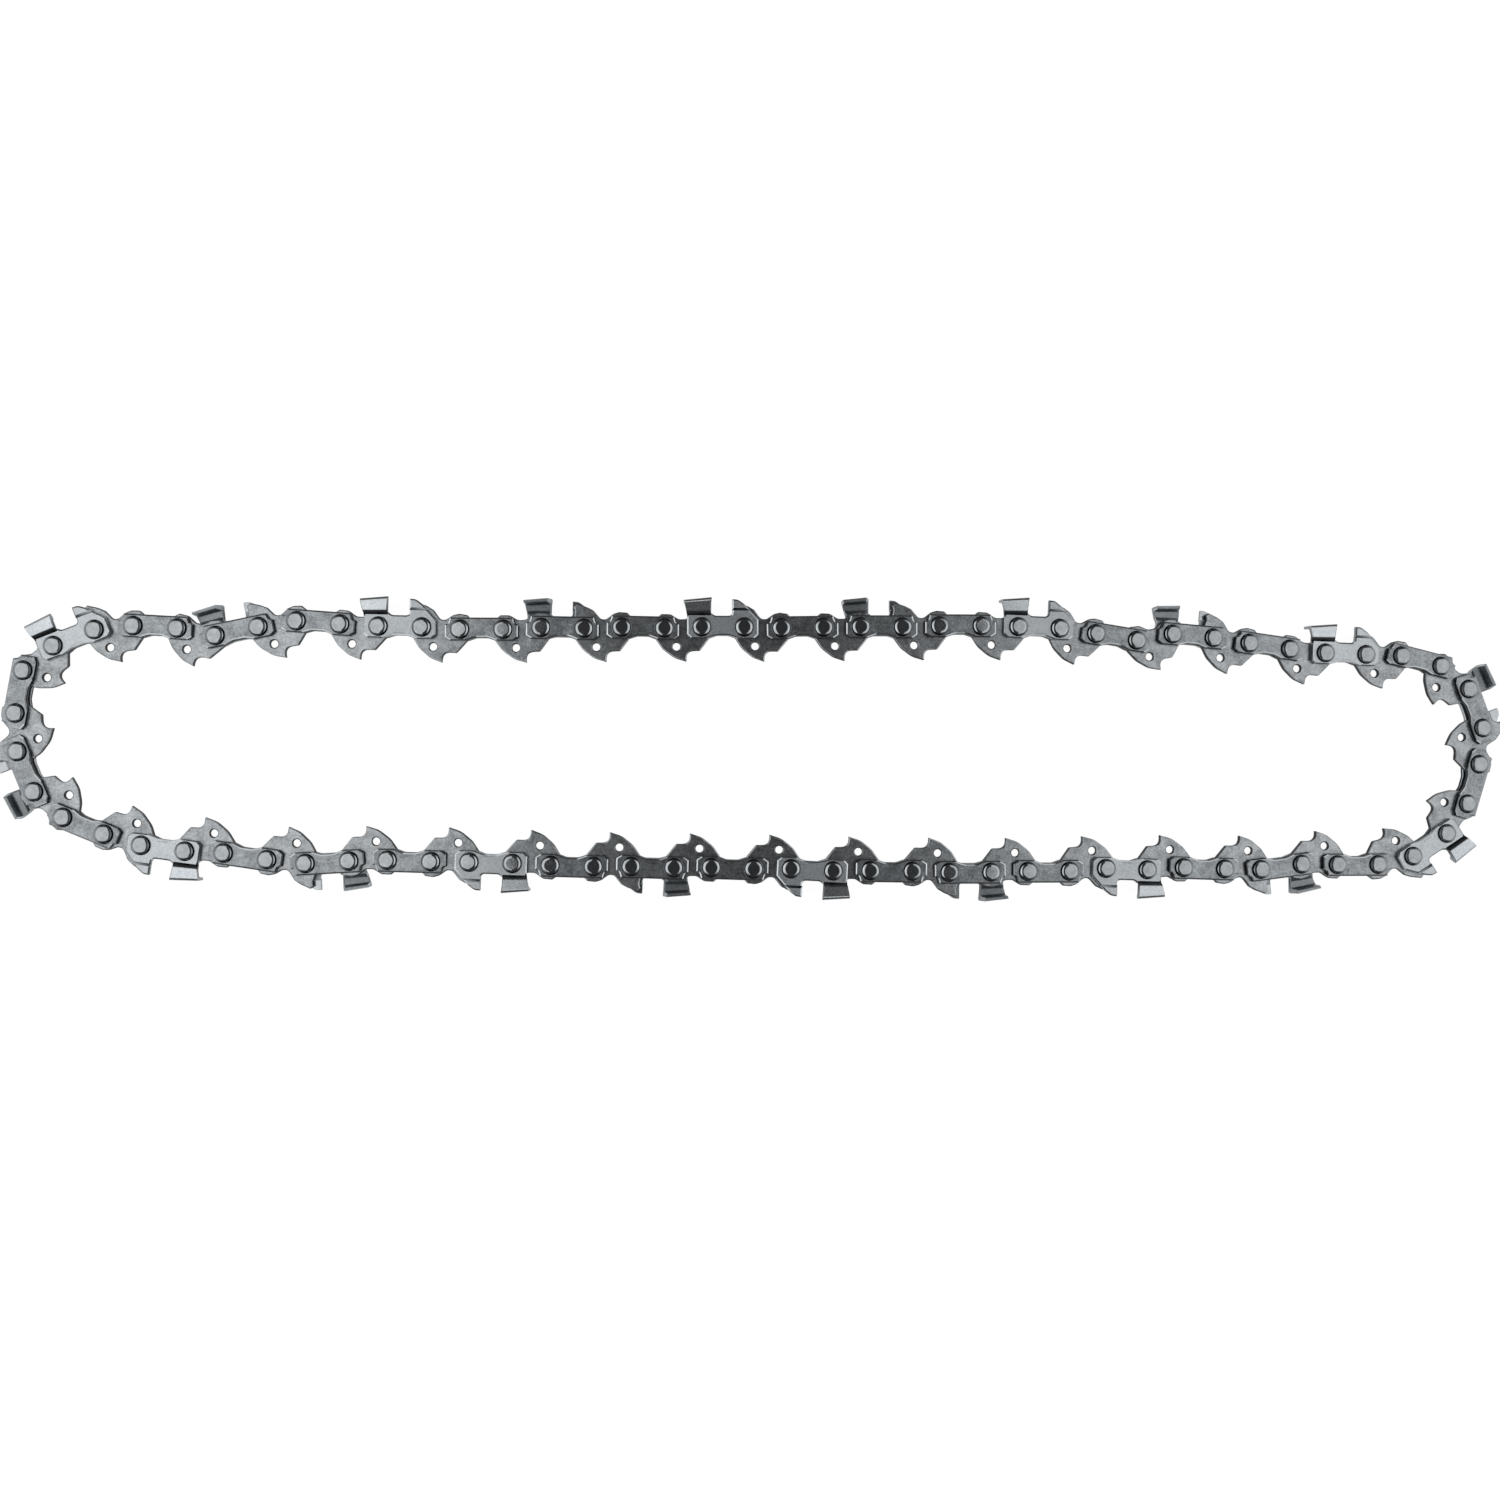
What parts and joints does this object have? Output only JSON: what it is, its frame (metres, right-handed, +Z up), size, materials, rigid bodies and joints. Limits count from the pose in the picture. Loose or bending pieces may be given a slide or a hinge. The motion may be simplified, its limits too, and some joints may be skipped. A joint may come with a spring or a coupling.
{
  "type": "chainsaw chain loop",
  "caption": "Closed loop of low-profile saw chain laid flat: alternating left and right cutters with depth gauges, tie straps and hooked drive links joined by rivets.",
  "frame": {"origin": "centre of the loop's box, on the surface it lies on", "axes": "+Z up, along the rivets; +X along the loop's length; the cutters run clockwise seen from above"},
  "size_m": [0.3536, 0.0712, 0.0058],
  "materials": {
    "cutter_chrome": "thin hard chrome over stamped steel, smooth with fine marks",
    "drive_steel": "stamped and tumbled steel, oiled",
    "strap_steel": "stamped steel with light drawing lines, oiled"
  },
  "bodies": {
    "section_01": {"right_cutter_01": "cutter_chrome", "drive_links_01": "drive_steel", "tie_straps_01": "strap_steel"},
    "section_02": {"left_cutter_02": "cutter_chrome", "drive_links_02": "drive_steel", "tie_straps_02": "strap_steel"},
    "section_03": {"right_cutter_03": "cutter_chrome", "drive_links_03": "drive_steel", "tie_straps_03": "strap_steel"},
    "section_04": {"left_cutter_04": "cutter_chrome", "drive_links_04": "drive_steel", "tie_straps_04": "strap_steel"},
    "section_05": {"right_cutter_05": "cutter_chrome", "drive_links_05": "drive_steel", "tie_straps_05": "strap_steel"},
    "section_06": {"left_cutter_06": "cutter_chrome", "drive_links_06": "drive_steel", "tie_straps_06": "strap_steel"},
    "section_07": {"right_cutter_07": "cutter_chrome", "drive_links_07": "drive_steel", "tie_straps_07": "strap_steel"},
    "section_08": {"left_cutter_08": "cutter_chrome", "drive_links_08": "drive_steel", "tie_straps_08": "strap_steel"},
    "section_09": {"right_cutter_09": "cutter_chrome", "drive_links_09": "drive_steel", "tie_straps_09": "strap_steel"},
    "section_10": {"left_cutter_10": "cutter_chrome", "drive_links_10": "drive_steel", "tie_straps_10": "strap_steel"},
    "section_11": {"right_cutter_11": "cutter_chrome", "drive_links_11": "drive_steel", "tie_straps_11": "strap_steel"},
    "section_12": {"left_cutter_12": "cutter_chrome", "drive_links_12": "drive_steel", "tie_straps_12": "strap_steel"},
    "section_13": {"right_cutter_13": "cutter_chrome", "drive_links_13": "drive_steel", "tie_straps_13": "strap_steel"},
    "section_14": {"left_cutter_14": "cutter_chrome", "drive_links_14": "drive_steel", "tie_straps_14": "strap_steel"},
    "section_15": {"right_cutter_15": "cutter_chrome", "drive_links_15": "drive_steel", "tie_straps_15": "strap_steel"},
    "section_16": {"left_cutter_16": "cutter_chrome", "drive_links_16": "drive_steel", "tie_straps_16": "strap_steel"},
    "section_17": {"right_cutter_17": "cutter_chrome", "drive_links_17": "drive_steel", "tie_straps_17": "strap_steel"},
    "section_18": {"left_cutter_18": "cutter_chrome", "drive_links_18": "drive_steel", "tie_straps_18": "strap_steel"},
    "section_19": {"right_cutter_19": "cutter_chrome", "drive_links_19": "drive_steel", "tie_straps_19": "strap_steel"},
    "section_20": {"left_cutter_20": "cutter_chrome", "drive_links_20": "drive_steel", "tie_straps_20": "strap_steel"}
  },
  "joints": [
    {"name": "pivot_06", "type": "hinge", "parent": "section_05", "child": "section_06", "pos_m": [0.02148, 0.0287, 0.0029], "axis": [0, 0, 1], "range_deg": [-5, 5]},
    {"name": "pivot_07", "type": "hinge", "parent": "section_06", "child": "section_07", "pos_m": [0.05867, 0.02886, 0.0029], "axis": [0, 0, 1], "range_deg": [-5.5, 5.5]},
    {"name": "pivot_08", "type": "hinge", "parent": "section_07", "child": "section_08", "pos_m": [0.09553, 0.02728, 0.0029], "axis": [0, 0, 1], "range_deg": [-5.5, 5.5]},
    {"name": "pivot_09", "type": "hinge", "parent": "section_08", "child": "section_09", "pos_m": [0.13246, 0.02292, 0.0029], "axis": [0, 0, 1], "range_deg": [-5.5, 5.5]},
    {"name": "pivot_10", "type": "hinge", "parent": "section_09", "child": "section_10", "pos_m": [0.16741, 0.01439, 0.0029], "axis": [0, 0, 1], "range_deg": [-5.5, 5.5]},
    {"name": "pivot_11", "type": "hinge", "parent": "section_10", "child": "section_11", "pos_m": [0.16178, -0.02006, 0.0029], "axis": [0, 0, 1], "range_deg": [-5.5, 5.5]},
    {"name": "pivot_12", "type": "hinge", "parent": "section_11", "child": "section_12", "pos_m": [0.12639, -0.02722, 0.0029], "axis": [0, 0, 1], "range_deg": [-5.5, 5.5]},
    {"name": "pivot_13", "type": "hinge", "parent": "section_12", "child": "section_13", "pos_m": [0.08928, -0.02837, 0.0029], "axis": [0, 0, 1], "range_deg": [-5.5, 5.5]},
    {"name": "pivot_14", "type": "hinge", "parent": "section_13", "child": "section_14", "pos_m": [0.05211, -0.02877, 0.0029], "axis": [0, 0, 1], "range_deg": [-5.5, 5.5]},
    {"name": "pivot_15", "type": "hinge", "parent": "section_14", "child": "section_15", "pos_m": [0.01492, -0.02829, 0.0029], "axis": [0, 0, 1], "range_deg": [-5.5, 5.5]},
    {"name": "pivot_04", "type": "hinge", "parent": "section_05", "child": "section_04", "pos_m": [-0.01572, 0.02851, 0.0029], "axis": [0, 0, 1], "range_deg": [-5.5, 5.5]},
    {"name": "pivot_03", "type": "hinge", "parent": "section_04", "child": "section_03", "pos_m": [-0.0529, 0.02824, 0.0029], "axis": [0, 0, 1], "range_deg": [-5.5, 5.5]},
    {"name": "pivot_02", "type": "hinge", "parent": "section_03", "child": "section_02", "pos_m": [-0.09008, 0.0284, 0.0029], "axis": [0, 0, 1], "range_deg": [-5.5, 5.5]},
    {"name": "pivot_01", "type": "hinge", "parent": "section_02", "child": "section_01", "pos_m": [-0.12691, 0.02611, 0.0029], "axis": [0, 0, 1], "range_deg": [-5.5, 5.5]},
    {"name": "pivot_20", "type": "hinge", "parent": "section_01", "child": "section_20", "pos_m": [-0.16317, 0.02366, 0.0029], "axis": [0, 0, 1], "range_deg": [-5.5, 5.5]},
    {"name": "pivot_19", "type": "hinge", "parent": "section_20", "child": "section_19", "pos_m": [-0.16733, -0.00955, 0.0029], "axis": [0, 0, 1], "range_deg": [-5.5, 5.5]},
    {"name": "pivot_18", "type": "hinge", "parent": "section_19", "child": "section_18", "pos_m": [-0.13363, -0.02315, 0.0029], "axis": [0, 0, 1], "range_deg": [-5.5, 5.5]},
    {"name": "pivot_17", "type": "hinge", "parent": "section_18", "child": "section_17", "pos_m": [-0.09662, -0.02556, 0.0029], "axis": [0, 0, 1], "range_deg": [-5.5, 5.5]},
    {"name": "pivot_16", "type": "hinge", "parent": "section_17", "child": "section_16", "pos_m": [-0.05944, -0.02626, 0.0029], "axis": [0, 0, 1], "range_deg": [-5.5, 5.5]}
  ],
  "couplings": [
    {"joint": "pivot_07", "follows": "pivot_06", "ratio": 0.81074},
    {"joint": "pivot_08", "follows": "pivot_06", "ratio": 0.31176},
    {"joint": "pivot_09", "follows": "pivot_06", "ratio": -0.30483},
    {"joint": "pivot_10", "follows": "pivot_06", "ratio": -0.78232},
    {"joint": "pivot_11", "follows": "pivot_06", "ratio": -1.0262},
    {"joint": "pivot_12", "follows": "pivot_06", "ratio": -0.81491},
    {"joint": "pivot_13", "follows": "pivot_06", "ratio": -0.30975},
    {"joint": "pivot_14", "follows": "pivot_06", "ratio": 0.30813},
    {"joint": "pivot_15", "follows": "pivot_06", "ratio": 0.80862},
    {"joint": "pivot_04", "follows": "pivot_06", "ratio": -0.80909},
    {"joint": "pivot_03", "follows": "pivot_06", "ratio": -0.30858},
    {"joint": "pivot_02", "follows": "pivot_06", "ratio": 0.30659},
    {"joint": "pivot_01", "follows": "pivot_06", "ratio": 0.80886},
    {"joint": "pivot_20", "follows": "pivot_06", "ratio": 0.97035},
    {"joint": "pivot_19", "follows": "pivot_06", "ratio": 0.82937},
    {"joint": "pivot_18", "follows": "pivot_06", "ratio": 0.32018},
    {"joint": "pivot_17", "follows": "pivot_06", "ratio": -0.30732},
    {"joint": "pivot_16", "follows": "pivot_06", "ratio": -0.80945}
  ]
}
